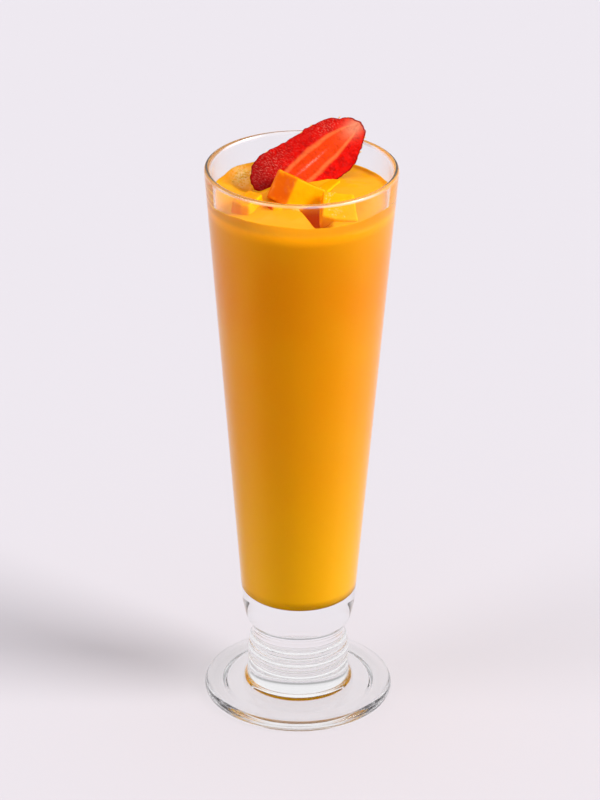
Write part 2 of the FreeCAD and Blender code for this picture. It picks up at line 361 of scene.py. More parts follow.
def grown(name, base, tree, **inputs):
    """The plain mesh that a tree makes from a base mesh, as a new piece."""
    seedling = bpy.data.objects.new(name + "_base", base)
    scene.collection.objects.link(seedling)
    growth = seedling.modifiers.new("growth", "NODES")
    growth.node_group = tree
    for item in tree.interface.items_tree:
        if item.in_out == "INPUT" and item.name.replace(" ", "_").lower() in inputs:
            growth[item.identifier] = inputs[item.name.replace(" ", "_").lower()]
    depsgraph = bpy.context.evaluated_depsgraph_get()
    mesh = bpy.data.meshes.new_from_object(seedling.evaluated_get(depsgraph))
    bpy.data.objects.remove(seedling)
    mesh.name = name
    piece = bpy.data.objects.new(name, mesh)
    scene.collection.objects.link(piece)
    return piece


def faced_outward(piece):
    """Makes every face of a closed piece point outwards."""
    mesh = bmesh.new()
    mesh.from_mesh(piece.data)
    bmesh.ops.recalc_face_normals(mesh, faces=mesh.faces)
    mesh.to_mesh(piece.data)
    mesh.free()


def turned(name, outline, sides, finish, soft=0.4 * MM):
    """A piece spun from an outline."""
    points = drawn(outline, softness=soft)
    base = bpy.data.meshes.new(name + "_outline")
    base.from_pydata([(point.x, 0.0, point.y) for point in points],
                     [(index, index + 1) for index in range(len(points) - 1)], [])
    piece = grown(name, base, spinner, sides=sides, path_radius=1.0, finish=finish)
    faced_outward(piece)
    return piece


def glass_finish():
    """Clear soda glass: faint ripples and smears on the bowl, a slight tint where it is thick, and a lip with
    broken pale lines at its edges, a painted highlight of the light the lip gathers. Light from the lamps goes
    straight through it."""
    finish = Finish("clear_glass")
    height = finish.node("ShaderNodeSeparateXYZ", {}, {0: finish.place()}, "Z")
    smear = finish.ease(finish.grain(55.0, where=finish.stretched((1, 1, 0.35))), 0.5, 0.75)
    lip = finish.ease(height, LIP - 0.6 * MM, LIP + 0.1 * MM)
    bowl = finish.ease(height, FLOOR_TOP, FLOOR_TOP + 10 * MM)
    collar = finish.ease(height, COLLAR_FOOT, COLLAR_FOOT + 0.8 * MM)
    collar = collar * (1 - finish.ease(height, COLLAR_HEAD + 0.2 * MM, COLLAR_HEAD + 1.0 * MM))
    ripple = finish.grain(60.0, detail=1.0, where=finish.stretched((1, 1, 0.3))) * bowl
    shader = finish.node("ShaderNodeBsdfPrincipled", {}, {
        "Base Color": finish.mix(smear * bowl, (0.99, 0.99, 0.99, 1), (0.975, 0.98, 0.975, 1)),
        "Roughness": smear * bowl * 0.02 + lip * 0.22 + collar * 0.2,
        "IOR": 1.5,
        "Transmission Weight": 1.0,
        "Specular Tint": (0.06, 0.06, 0.06, 1),
        "Coat Weight": lip * 0.6,
        "Coat Roughness": 0.02,
        "Coat IOR": 1.5,
        "Normal": finish.bump(ripple, 0.00002),
    })
    # Painted highlight: a pale grey-white shader mixed into the lip's edges in broken lines.
    painted_lip_light = finish.node("ShaderNodeBsdfPrincipled", {}, {
        "Base Color": (0.93, 0.92, 0.93, 1),
        "Roughness": 0.2,
    })
    spot = finish.node("ShaderNodeSeparateXYZ", {}, {0: finish.place()}, "X")
    across = finish.maths("SQRT", spot * spot + spot.other("Y") * spot.other("Y"))
    lip_light_lines = finish.ease(across, RIM_RADIUS - 0.5 * MM, RIM_RADIUS - 0.2 * MM)
    lip_light_lines = lip_light_lines + 1 - finish.ease(across, LIP_INNER + 0.2 * MM, LIP_INNER + 0.5 * MM)
    share = lip * lip_light_lines * (finish.ease(finish.grain(38.0, detail=1.0), 0.35, 0.65) * 0.45 + 0.12)
    shader = finish.node("ShaderNodeMixShader", {}, {0: share, 1: shader, 2: painted_lip_light})
    clear = finish.node("ShaderNodeBsdfTransparent", {}, {"Color": (0.94, 0.95, 0.94, 1)})
    lamp_ray = finish.node("ShaderNodeLightPath", output="Is Shadow Ray")
    both = finish.node("ShaderNodeMixShader", {}, {0: lamp_ray, 1: shader, 2: clear})
    tint = finish.node("ShaderNodeVolumeAbsorption", {}, {"Color": (0.78, 0.82, 0.76, 1), "Density": 2.0})
    finish.tree.links.new(both.socket, finish.end.inputs["Surface"])
    finish.tree.links.new(tint.socket, finish.end.inputs["Volume"])
    return finish.material


spinner = turning_tree()
glass = turned("pilsner_glass", GLASS_OUTLINE, GLASS_SIDES, glass_finish())
glass.visible_diffuse = False  # so it throws no bright spots of light on the paper
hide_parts("glass")
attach(glass, "root")

# ---------------------------------------------------------------- smoothie
# Thick blended mango. It fills the bowl and reaches just into the wall, so no air shows between them. Its
# top is uneven: it climbs the glass and the fruit a little, heaps up in front and sinks between the chunks.
HEADROOM = 10.6 * MM
LEVEL = LIP - HEADROOM
INTO_WALL = 0.35 * MM
SMOOTHIE_SIDES = 400
CROWN = 1.2 * MM
CLIMB_HIGH, CLIMB_WIDE = 0.9, 0.7  # where it meets the glass, in millimetres like the next line
FRUIT_CLIMB = 0.3
LEVEL_RADIUS = FLOOR_RADIUS + (LIP_INNER - FLOOR_RADIUS) * (LEVEL - FLOOR_TOP - FLOOR_CORNER) / (
    LIP - FLOOR_TOP - FLOOR_CORNER)
GARNISH = ["mango_chunk_centre", "mango_chunk_left", "mango_chunk_corner", "mango_chunk_right",
           "mango_chunk_back", "strawberry_half"]
SWELLS = [
    # (x, y, half width, half depth, height) of each heap and hollow, in millimetres
    (-9.0, -25.5, 11.0, 6.5, 1.5),
    (-23.0, 13.0, 6.0, 5.0, -1.2),
    (-18.5, 8.0, 6.5, 6.5, -2.4),
    (-28.0, -11.0, 3.5, 5.0, -1.6),
    (-24.0, 20.0, 5.0, 5.0, 0.9),
    (-12.5, -3.0, 4.5, 4.0, 2.0),
    (-6.0, -11.5, 8.0, 3.5, -1.6),
    (8.0, 13.5, 7.0, 4.0, 1.3),
    (20.0, 5.0, 8.0, 6.0, 1.6),
    (25.0, -16.0, 5.0, 7.0, 0.7),
]
GAP_START = Vector((-2.2, -12.5))
GAP_END = Vector((5.6, -31.0))
GAP_SIDE = 8.0
GAP_DEPTH = 3.6
FROTH_X, FROTH_Y = -22.5, 18.5
FROTH_WIDE, FROTH_DEEP = 3.2, 6.0
# Painted shade: a spot beside the berry's tip where the top is painted darker, its width and depth, and how
# much darker.
SHADE_X, SHADE_Y = -21.5, 10.5
SHADE_WIDE, SHADE_DEEP = 2.6, 3.6
SHADE_SHARE = 0.35


def eased(value, low, high):
    """0 below low, 1 above high, with a soft start and end, for arrays."""
    share = np.clip((value - low) / (high - low), 0.0, 1.0)
    return share * share * (3 - 2 * share)


def gap_share(x, y):
    """1 in the gap between the heap in front and the right chunk, 0 outside it. It sinks the top there and
    also sets where the gap is painted dark, as painted shade.
    """
    along = (GAP_END - GAP_START).normalized()
    right_of_heap = (x - GAP_START.x) * -along.y + (y - GAP_START.y) * along.x
    gap = eased(right_of_heap, -0.4, 1.3) * eased(x, GAP_SIDE + 4.0, GAP_SIDE)
    return gap * eased(y, -8.0, -14.0) * eased(-y, 31.5, 28.5)


def smoothie_rise(x, y):
    """How far the top stands over the level at x, y. Arrays, all in millimetres."""
    out = np.hypot(x, y) / (LEVEL_RADIUS / MM)
    rise = CROWN / MM * (1 - out ** 2)
    for at_x, at_y, wide, deep, high in SWELLS:
        rise += high * np.exp(-((x - at_x) / wide) ** 2 - ((y - at_y) / deep) ** 2)
    return rise - GAP_DEPTH * gap_share(x, y)


def closeness(points, meshes, reach):
    """1 at the surface of any of the meshes, falling off over a reach, for each point."""
    trees = [BVHTree.FromPolygons([v.co for v in mesh.vertices], [p.vertices[:] for p in mesh.polygons])
             for mesh in meshes]
    near = np.zeros(len(points))
    for index, point in enumerate(points):
        gaps = [tree.find_nearest(Vector(point), reach * 4) for tree in trees]
        gaps = [hit[3] for hit in gaps if hit[0] is not None]
        if gaps:
            near[index] = math.exp(-min(gaps) / reach)
    return near


def add_mark(mesh, name, values):
    """Keeps one number for each vertex under a name that the finish reads."""
    mesh.attributes.new(name, "FLOAT", "POINT").data.foreach_set("value", values)


def smoothie_finish():
    """Opaque glossy orange with fine pulp: yellower toward the bottom, with painted shade in the gap and
    beside the berry's tip and a painted dark line along the bottom edge, and pale where it froths."""
    finish = Finish("smoothie")
    height = finish.node("ShaderNodeSeparateXYZ", {}, {0: finish.place()}, "Z")
    pulp = finish.grain(700.0, detail=4.0)
    swirl = finish.grain(45.0, detail=2.0, where=finish.stretched((1, 1, 0.6)))
    body = finish.mix(finish.ease(height, 50 * MM, 140 * MM), (1.0, 0.45, 0.001, 1), (0.98, 0.335, 0.0, 1))
    body = finish.mix(finish.ease(height, 150 * MM, 180 * MM), body, (0.96, 0.30, 0.0, 1))
    body = finish.mix(finish.ease(swirl, 0.35, 0.75) * 0.35, body, (0.97, 0.40, 0.002, 1))
    body = finish.mix(finish.ease(pulp, 0.55, 0.8) * 0.25, body, (0.90, 0.31, 0.0, 1))
    top = finish.ease(height, LEVEL - 3.5 * MM, LEVEL - 0.8 * MM)
    # Painted shade: a thin dark brown line painted along the smoothie's bottom edge, where the glass floor
    # shows a dark line.
    under = 1 - finish.ease(height, FLOOR_TOP + 0.4 * MM, FLOOR_TOP + 0.9 * MM)
    body = finish.mix(under * 0.7, body, (0.42, 0.17, 0.02, 1))
    below_top = finish.ease(height, LEVEL - 22 * MM, LEVEL - 4 * MM)
    body = finish.mix(below_top * 0.6, body, (0.99, 0.36, 0.001, 1))
    colour = finish.mix(top, body, (0.76, 0.285, 0.005, 1))
    # Painted shade: the top is painted dark in the gap and beside the berry's tip.
    deep = finish.node("ShaderNodeAttribute", {"attribute_name": "deep"}, {}, "Fac")
    frothy = finish.node("ShaderNodeAttribute", {"attribute_name": "frothy"}, {}, "Fac")
    colour = finish.mix(deep, colour, (0.48, 0.045, 0.0, 1))
    colour = finish.mix(frothy * finish.ease(finish.grain(900.0), 0.35, 0.6), colour, (0.85, 0.52, 0.19, 1))
    finish.surface({
        "Base Color": colour,
        "Roughness": pulp * 0.12 + 0.30,
        "Specular IOR Level": 0.0,
        "Subsurface Weight": 0.35,
        "Subsurface Radius": (1.0, 0.45, 0.1),
        "Subsurface Scale": 0.0022,
        "Coat Weight": top * 0.25,
        "Coat Roughness": 0.12,
        "Coat IOR": 1.38,
        "Normal": finish.bump(pulp, 0.00008, finish.bump(swirl, 0.0002)),
    })
    return finish.material


smoothie = turned("smoothie_fill", [
    (0.0, FLOOR_TOP - INTO_WALL), (FLOOR_RADIUS - FLOOR_CORNER, FLOOR_TOP - INTO_WALL),
    (FLOOR_RADIUS + INTO_WALL, FLOOR_TOP + FLOOR_CORNER, CORNER_BULGE),
] + [
    (FLOOR_RADIUS + INTO_WALL + (LEVEL_RADIUS - FLOOR_RADIUS) * step / 24,
     FLOOR_TOP + FLOOR_CORNER + (LEVEL - FLOOR_TOP - FLOOR_CORNER) * step / 24) for step in range(1, 25)
] + [
    (LEVEL_RADIUS * (1 - step / 80), LEVEL) for step in range(0, 81)
], SMOOTHIE_SIDES, smoothie_finish(), soft=0.0)
places = np.array([vertex.co[:] for vertex in smoothie.data.vertices])
on_top = places[:, 2] > LEVEL - 0.01 * MM
x, y = places[on_top, 0] / MM, places[on_top, 1] / MM
climb = CLIMB_HIGH * np.exp((np.hypot(x, y) - LEVEL_RADIUS / MM) / CLIMB_WIDE)
climb += FRUIT_CLIMB * closeness(places[on_top], [frame["nodes"][name].data for name in GARNISH], 0.7 * MM)
ripples = np.array([noise.noise(Vector((px / 7.0, py / 7.0, 3.1))) * 0.35
                    + noise.noise(Vector((px / 2.2, py / 2.2, 7.7))) * 0.07 for px, py in zip(x, y)])
places[on_top, 2] += (smoothie_rise(x, y) + climb + ripples) * MM
smoothie.data.vertices.foreach_set("co", places.ravel())
faced_outward(smoothie)
painted_shade_marks, frothy_marks = np.zeros(len(places)), np.zeros(len(places))
shade = np.exp(-((x - SHADE_X) / SHADE_WIDE) ** 2 - ((y - SHADE_Y) / SHADE_DEEP) ** 2)
# Painted shade: the mark that darkens the top in the gap and beside the berry's tip.
painted_shade_marks[on_top] = np.maximum(gap_share(x, y), SHADE_SHARE * shade)
frothy_marks[on_top] = np.exp(-((x - FROTH_X) / FROTH_WIDE) ** 2 - ((y - FROTH_Y) / FROTH_DEEP) ** 2)
add_mark(smoothie.data, "deep", painted_shade_marks)
add_mark(smoothie.data, "frothy", frothy_marks)
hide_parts("smoothie")
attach(smoothie, "root")

# ---------------------------------------------------------------- mango chunks
# Blocks cut from a ripe mango's cheek. The knife leaves slightly hollow faces, soft edges and fine fibres,
# and each chunk is wet, clear at its edges, painted paler along its edges as a highlight, and smeared where it
# stands in the smoothie.
CHUNK_NODES = [node for node in GARNISH if node.startswith("mango")]
CHUNK_VOXEL = 0.33 * MM
# Painted shade: faces turned to the left and back, away from the right-hand lamp, are painted deeper orange, a
# little more so where they face up. Each chunk, in the order above, has its own share of it.
PAINTED_SHADE_SIDE = (-0.75, 0.35, 0.25)
CHUNK_SHADE_SHARES = [1.45, 0.8, 1.0, 0.55, 0.7]


def mango_finish():
    """Wet translucent flesh: orange, painted deeper on the faces turned from the right-hand lamp (painted
    shade) and paler along the knife's edges (painted highlight), with fibres along the fruit.
    """
    finish = Finish("mango_flesh")
    fibre = finish.grain(420.0, detail=3.0, where=finish.stretched((1.0, 0.22, 1.0), (0.2, 0.5, 0.9)))
    blotch = finish.grain(95.0, detail=2.0)
    edge = finish.node("ShaderNodeAttribute", {"attribute_name": "edge"}, {}, "Fac")
    smear = finish.node("ShaderNodeAttribute", {"attribute_name": "smear"}, {}, "Fac")
    ripe = finish.node("ShaderNodeAttribute", {"attribute_name": "ripe"}, {}, "Fac")
    # Painted shade: from the pale orange of the lit faces to the deep orange painted on the faces turned from
    # the lamp.
    colour = finish.mix(ripe, (0.94, 0.43, 0.001, 1), (0.58, 0.045, 0.0, 1))
    colour = finish.mix(finish.ease(blotch, 0.4, 0.8) * 0.25, colour, (0.80, 0.20, 0.0, 1))
    colour = finish.mix(finish.ease(fibre, 0.5, 0.75) * 0.3, colour, (0.88, 0.38, 0.003, 1))
    # Painted highlight: the knife's edges are painted paler, as if they catch the light.
    colour = finish.mix(edge * 0.3, colour, (0.92, 0.42, 0.008, 1))
    colour = finish.mix(smear * 0.5, colour, (0.88, 0.32, 0.002, 1))
    finish.surface({
        "Base Color": colour,
        "Roughness": fibre * 0.15 + 0.22,
        "Subsurface Weight": 0.3,
        "Subsurface Radius": (1.0, 0.25, 0.03),
        "Subsurface Scale": 0.0022,
        "Specular IOR Level": 0.0,
        "Coat Weight": 0.1,
        "Coat Roughness": 0.1,
        "Normal": finish.bump(fibre, 0.00014, finish.bump(blotch, 0.0005)),
    })
    return finish.material


def carved(node, name, voxel):
    """A copy of a CAD block as an even skin of small faces."""
    mesh = frame["nodes"][node].data.copy()
    mesh.name = name
    mesh.materials.clear()
    shell = bmesh.new()
    shell.from_mesh(mesh)
    bmesh.ops.remove_doubles(shell, verts=shell.verts, dist=0.001 * MM)
    bmesh.ops.recalc_face_normals(shell, faces=shell.faces)
    shell.to_mesh(mesh)
    shell.free()
    rough = bpy.data.objects.new(name + "_rough", mesh)
    scene.collection.objects.link(rough)
    skin = rough.modifiers.new("skin", "REMESH")
    skin.mode = "VOXEL"
    skin.voxel_size = voxel
    soften = rough.modifiers.new("soften", "SMOOTH")
    soften.factor = 0.5
    soften.iterations = 5
    even = bpy.data.meshes.new_from_object(rough.evaluated_get(bpy.context.evaluated_depsgraph_get()))
    bpy.data.objects.remove(rough)
    even.name = name
    piece = bpy.data.objects.new(name, even)
    scene.collection.objects.link(piece)
    return piece


def sharpness(mesh):
    """How much the skin bends at each vertex, from 0 on a flat face to 1 at a corner."""
    shell = bmesh.new()
    shell.from_mesh(mesh)
    bend = np.zeros(len(shell.verts))
    for vertex in shell.verts:
        bend[vertex.index] = max((edge.calc_face_angle(0.0) for edge in vertex.link_edges), default=0.0)
    for _ in range(3):
        bend = np.array([max(bend[v.index], 0.75 * max(bend[e.other_vert(v).index] for e in v.link_edges))
                         for v in shell.verts])
    shell.free()
    return np.clip(bend / 0.5, 0.0, 1.0)


mango = mango_finish()
for number, node in enumerate(CHUNK_NODES):
    chunk = carved(node, node.replace("mango_chunk", "mango"), CHUNK_VOXEL)
    edge_highlights = sharpness(chunk.data)
    offset = Vector((number * 11.3, number * 5.1, 2.0))
    skin = np.array([vertex.co[:] for vertex in chunk.data.vertices])
    away = np.array([vertex.normal[:] for vertex in chunk.data.vertices])
    swell = np.array([noise.noise(Vector(at) / 6.0 + offset) * 0.38
                      + noise.noise(Vector((at[0] / 1.1, at[1] / 3.4, at[2] / 1.5)) + offset) * 0.09 - 0.08
                      for at in skin / MM])
    skin += away * swell[:, None] * MM
    chunk.data.vertices.foreach_set("co", skin.ravel())
    patches = np.array([noise.noise(Vector(at) / 3.0 + offset) for at in skin / MM]) * 1.6
    # Painted highlight along the edges, from how sharply the skin bends.
    add_mark(chunk.data, "edge", edge_highlights)
    add_mark(chunk.data, "smear", 1 - eased(skin[:, 2] / MM + patches * 0.7, LEVEL / MM, LEVEL / MM + 1.4))
    # Painted shade: how far each vertex faces away from the right-hand lamp, times the chunk's share.
    ripe = (0.5 + away @ np.array(PAINTED_SHADE_SIDE)) * CHUNK_SHADE_SHARES[number]
    add_mark(chunk.data, "ripe", np.clip(ripe, 0.0, 1.0))
    chunk.data.materials.clear()
    chunk.data.materials.append(mango)
    chunk.data.shade_smooth()
    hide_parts(node)
    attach(chunk, "root")

# ---------------------------------------------------------------- strawberry half
# A large ripe berry cut lengthwise, leaning on the centre chunk with its pointed end in the smoothie. The
# cut face shows the core, the pale fibres that run out from it, painted partly as pink glints of wet flesh,
# and a thin dark line of skin.
BERRY_PLACE = Vector((18.4 * MM, 24.2 * MM, LEVEL + 20.2 * MM))
BERRY_TURN = (Matrix.Rotation(math.radians(-26.4), 3, "Z") @ Matrix.Rotation(math.radians(42.6), 3, "Y")
              @ Matrix.Rotation(math.radians(42.9), 3, "X"))
# corners of the cut face's rounded outline as (right, down) of the berry's middle line, in millimetres
BERRY_OUTLINE = [
    (4.4, -2.2), (1.6, -2.0), (-1.6, 0.1), (-3.6, 3.0), (-6.3, 6.3), (-7.4, 10.0), (-8.7, 14.6),
    (-9.1, 20.0), (-10.3, 26.3), (-11.6, 31.6), (-12.0, 36.4), (-10.4, 41.0), (-6.4, 44.6), (-2.0, 44.6),
    (2.6, 41.8), (6.2, 37.0), (9.4, 30.6), (12.0, 23.6), (13.6, 16.4), (13.5, 10.8), (11.3, 5.6),
    (8.7, 1.4), (6.9, -1.2),
]
BERRY_THICK = [(-2.2, 0.0), (1.2, 5.0), (6.0, 7.8), (13.0, 9.6), (21.0, 10.4), (30.0, 10.2), (37.0, 8.8),
               (42.0, 6.4), (45.2, 0.0)]
BERRY_MIDDLE = Vector((0.8, 21.5))
BERRY_SEGMENTS = 320
FACE_RINGS = 56
BACK_RINGS = 44
SEED_PITCH = 3.0
DENT_WIDE, DENT_DEEP = 0.85, 0.42
TEETH = 0.4
# the core bends sideways with the square of the way from CORE_BEND_FROM, and is widest at CORE_DOWN
CORE_RIGHT, CORE_BEND, CORE_BEND_FROM = 2.4, 0.0022, 13.0
CORE_HALF, CORE_DOWN, CORE_LONG = 4.4, 24.0, 23.5
# the flat map's width and height, and the berry's zero on it
MAP_SPAN, MAP_RIGHT, MAP_DOWN = 60.0, 30.0, 10.0


def closed_curve(corners, count):
    """Evenly spaced points on a smooth closed curve through the corners."""
    ring = np.array(corners, float)
    fine = []
    for index in range(len(ring)):
        before, start, end, after = (ring[(index + step) % len(ring)] for step in (-1, 0, 1, 2))
        for share in np.linspace(0.0, 1.0, 24, endpoint=False):
            fine.append(0.5 * (2 * start + (end - before) * share
                               + (2 * before - 5 * start + 4 * end - after) * share ** 2
                               + (3 * start - before - 3 * end + after) * share ** 3))
    fine = np.array(fine + [fine[0]])
    run = np.concatenate([[0.0], np.cumsum(np.hypot(*np.diff(fine, axis=0).T))])
    wanted = np.linspace(0.0, run[-1], count, endpoint=False)
    return np.stack([np.interp(wanted, run, fine[:, axis]) for axis in (0, 1)], axis=1)


def core_offset(right, down):
    """How far a point of the cut face lies from the core's line, as a share of the core's half width."""
    middle = CORE_RIGHT + CORE_BEND * (down - CORE_BEND_FROM) ** 2
    half = CORE_HALF * np.sqrt(np.clip(1 - ((down - CORE_DOWN) / CORE_LONG) ** 2, 0.02, 1.0))
    return (right - middle) / half


def berry_point(right, down, out):
    """From the berry's own millimetres to the frame."""
    return BERRY_PLACE + BERRY_TURN @ (Vector((right, -down, out)) * MM)


def berry_depth(down):
    return np.interp(down, [down_at for down_at, _ in BERRY_THICK], [thick for _, thick in BERRY_THICK])


def seed_places():
    """Seeds in staggered rows on half ovals, as (right, down, out) and the oval's outward direction."""
    draw = random.Random(7)
    places = []
    row = 0
    down = 0.5
    while down < 43.5:
        lefts = [right for right, at in outline if abs(at - down) < 0.6]
        left, right = min(lefts), max(lefts)
        middle, half = (left + right) / 2, (right - left) / 2
        thick = float(berry_depth(down))
        around = math.pi * (half + thick) / 2
        count = max(3, round(around / SEED_PITCH))
        for index in range(count):
            angle = math.pi * (index + (0.25 if row % 2 else 0.75)) / count
            angle += draw.uniform(-0.06, 0.06)
            place = (middle - half * math.cos(angle), down + draw.uniform(-0.35, 0.35),
                     -thick * math.sin(angle))
            outward = Vector((-math.cos(angle) / half, 0.0, -math.sin(angle) / max(thick, 1.0)))
            places.append((Vector(place), outward.normalized()))
        down += SEED_PITCH * 0.82
        row += 1
    return places


def berry_mesh():
    """The closed half berry, with where each vertex lies on it."""
    rings = []
    for ring in range(FACE_RINGS):
        rings.append((ring / (FACE_RINGS - 1), True))
    for ring in range(1, BACK_RINGS):
        rings.append((math.cos(math.pi / 2 * ring / (BACK_RINGS - 1)), False))
    spots, cut = [], []
    for share, front in rings:
        flat = np.array(BERRY_MIDDLE) + share * (outline - np.array(BERRY_MIDDLE))
        right, down = flat[:, 0], flat[:, 1]
        if front:
            offset = core_offset(right, down)
            groove = 0.55 * np.exp(-(offset / 0.75) ** 2)
            groove = groove - 0.22 * np.exp(-((np.abs(offset) - 1.05) / 0.16) ** 2)
            inside = eased(1 - share, 0.0, 0.12)
            rough = np.array([noise.noise(Vector((px / 2.4, py / 1.0, 0.0))) * 0.10
                              + noise.noise(Vector((px / 7.0, py / 7.0, 4.0))) * 0.22
                              for px, py in zip(right, down)])
            out = 0.35 * (1 - share ** 2) + (rough - groove) * inside - 0.22 * eased(share, 0.97, 1.0)
        else:
            out = -0.22 - berry_depth(down) * math.sqrt(max(0.0, 1 - share ** 2))
        spots.append(np.stack([right, down, np.broadcast_to(out, right.shape)], axis=1))
        cut.append(np.full(len(right), 1.0 if front and share < 0.975 else 0.0))
    return np.concatenate(spots), np.concatenate(cut), len(rings)


def blob(right, down, at_right, at_down, wide, deep):
    """A wire that is 1 at a spot of the cut face and falls off round it."""
    across, along = (right - at_right) / wide, (down - at_down) / deep
    return right.finish.maths("EXPONENT", 0 - across * across - along * along)


def strawberry_finish():
    """Red flesh with an orange core, pink fibres partly painted as glints, a painted glint line, a pale
    shoulder and painted shade on its left part, and a dark glossy skin.
    """
    finish = Finish("strawberry_flesh")
    flat = finish.node("ShaderNodeUVMap", {"uv_map": "berry"})
    spot = finish.node("ShaderNodeSeparateXYZ", {}, {0: flat}, "X")
    right = spot * MAP_SPAN - MAP_RIGHT
    down = spot.other("Y") * MAP_SPAN - MAP_DOWN
    cut = finish.node("ShaderNodeAttribute", {"attribute_name": "cut"}, {}, "Fac")
    middle = (down - CORE_BEND_FROM) * (down - CORE_BEND_FROM) * CORE_BEND + CORE_RIGHT
    reach = (down - CORE_DOWN) / CORE_LONG
    half = finish.maths("SQRT", finish.maths("MAXIMUM", 1 - reach * reach, 0.02)) * CORE_HALF
    wobble = finish.grain(160.0, detail=2.0) * 0.3 - 0.15
    offset = finish.maths("ABSOLUTE", (right - middle) / half) + wobble
    in_core = 1 - finish.ease(offset, 0.72, 1.0)
    on_line = finish.ease(offset, 0.70, 0.92) * (1 - finish.ease(offset, 1.0, 1.3))
    where = finish.node("ShaderNodeCombineXYZ", {}, {
        0: right * 0.9 - down * 0.45,
        1: down * 2.1 + right * 0.7,
    })
    strands = finish.grain(1.0, detail=4.0, where=where, roughness=0.7)
    zones = blob(right, down, -5.0, 9.0, 4.0, 5.5) + blob(right, down, -6.5, 35.0, 4.5, 8.0)
    # Pink fibres, and painted highlights: pink glints of the wet flesh in two zones.
    fibres_and_glints = finish.ease(strands, 0.48, 0.70) * (zones * 0.75 + 0.06)
    shoulder = blob(right, down, 2.6, 0.8, 3.0, 4.6)
    # Painted highlight: a narrow pinkish-white streak down the core's line, for the wet glint there.
    painted_glint_line = blob(right, down, 2.4, 22.5, 0.45, 5.5) * finish.ease(strands, 0.40, 0.60)
    tip = finish.ease(down, 29.0, 43.0)
    flesh = finish.mix(finish.grain(130.0), (0.78, 0.002, 0.001, 1), (0.90, 0.007, 0.001, 1))
    lumps = finish.grain(430.0, detail=2.0)
    flesh = finish.mix(finish.ease(lumps, 0.45, 0.65) * 0.55, flesh, (0.48, 0.0, 0.0, 1))
    # Painted shade: the left part of the cut face is painted darker.
    flesh = finish.mix((1 - finish.ease(right, -7.0, 0.0)) * 0.4, flesh, (0.42, 0.003, 0.002, 1))
    flesh = finish.mix(tip * 0.8, flesh, (0.30, 0.004, 0.004, 1))
    flesh = finish.mix(fibres_and_glints, flesh, (0.86, 0.20, 0.14, 1))
    flesh = finish.mix(in_core * (1 - finish.ease(strands, 0.4, 0.75) * 0.35), flesh, (0.93, 0.065, 0.004, 1))
    flesh = finish.mix(on_line * 0.85, flesh, (1.0, 0.21, 0.05, 1))
    flesh = finish.mix(painted_glint_line * 0.7, flesh, (1.0, 0.55, 0.42, 1))
    flesh = finish.mix(shoulder * 0.9, flesh, (0.97, 0.34, 0.19, 1))
    skin = finish.mix(finish.grain(260.0), (0.22, 0.001, 0.001, 1), (0.42, 0.004, 0.002, 1))
    wet = finish.bump(strands, 0.0012, finish.bump(lumps, 0.0022))
    finish.surface({
        "Base Color": finish.mix(cut, skin, flesh),
        "Roughness": finish.ease(strands, 0.3, 0.8) * 0.2 + 0.14,
        "Subsurface Weight": 0.15,
        "Subsurface Radius": (1.0, 0.10, 0.06),
        "Subsurface Scale": 0.0015,
        "Specular IOR Level": 0.0,
        "Coat Weight": finish.ease(strands, 0.5, 0.68) * 0.7 + 0.06,
        "Coat Roughness": 0.07,
        "Normal": wet,
    })
    return finish.material


outline = closed_curve(BERRY_OUTLINE, BERRY_SEGMENTS)
teeth = np.array([noise.noise(Vector((px / 1.5, py / 1.5, 9.0))) for px, py in outline])
outward = outline - np.array(BERRY_MIDDLE)
outline = outline + outward / np.hypot(*outward.T)[:, None] * teeth[:, None] * TEETH
spots, cut_marks, ring_count = berry_mesh()
seeds = seed_places()
for seed_place, seed_outward in seeds:
    gap = np.sqrt(((spots - np.array(seed_place)) ** 2).sum(axis=1))
    dent = np.exp(-(gap / DENT_WIDE) ** 2) * (cut_marks < 0.5)
    spots -= dent[:, None] * np.array(seed_outward) * DENT_DEEP
faces = [(ring * BERRY_SEGMENTS + side, ring * BERRY_SEGMENTS + (side + 1) % BERRY_SEGMENTS,
          (ring + 1) * BERRY_SEGMENTS + (side + 1) % BERRY_SEGMENTS, (ring + 1) * BERRY_SEGMENTS + side)
         for ring in range(ring_count - 1) for side in range(BERRY_SEGMENTS)]
berry_data = bpy.data.meshes.new("strawberry")
berry_data.from_pydata([berry_point(*spot) for spot in spots], [], faces)
add_mark(berry_data, "cut", cut_marks)
flat_map = berry_data.uv_layers.new(name="berry")
corners = np.zeros(len(berry_data.loops), int)
berry_data.loops.foreach_get("vertex_index", corners)
flat_map.data.foreach_set("uv", np.stack([(spots[corners, 0] + MAP_RIGHT) / MAP_SPAN,
                                          (spots[corners, 1] + MAP_DOWN) / MAP_SPAN], axis=1).ravel())
shell = bmesh.new()
shell.from_mesh(berry_data)
bmesh.ops.remove_doubles(shell, verts=shell.verts, dist=0.001 * MM)
bmesh.ops.recalc_face_normals(shell, faces=shell.faces)
shell.to_mesh(berry_data)
shell.free()
berry_data.materials.append(strawberry_finish())
berry_data.shade_smooth()
strawberry = bpy.data.objects.new("strawberry", berry_data)
scene.collection.objects.link(strawberry)
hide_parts("strawberry_half")
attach(strawberry, "root")

# ---------------------------------------------------------------- strawberry seeds
# Small dry pips, pointed at one end, with the points towards the berry's tip. Most lie in dents in the skin.
# They are set out on half ovals, which the skin leaves near the berry's ends, so some stand clear of it there.
SEED_LONG = 1.35 * MM
SEED_WIDE = 0.8 * MM
SEED_SINK = 0.28


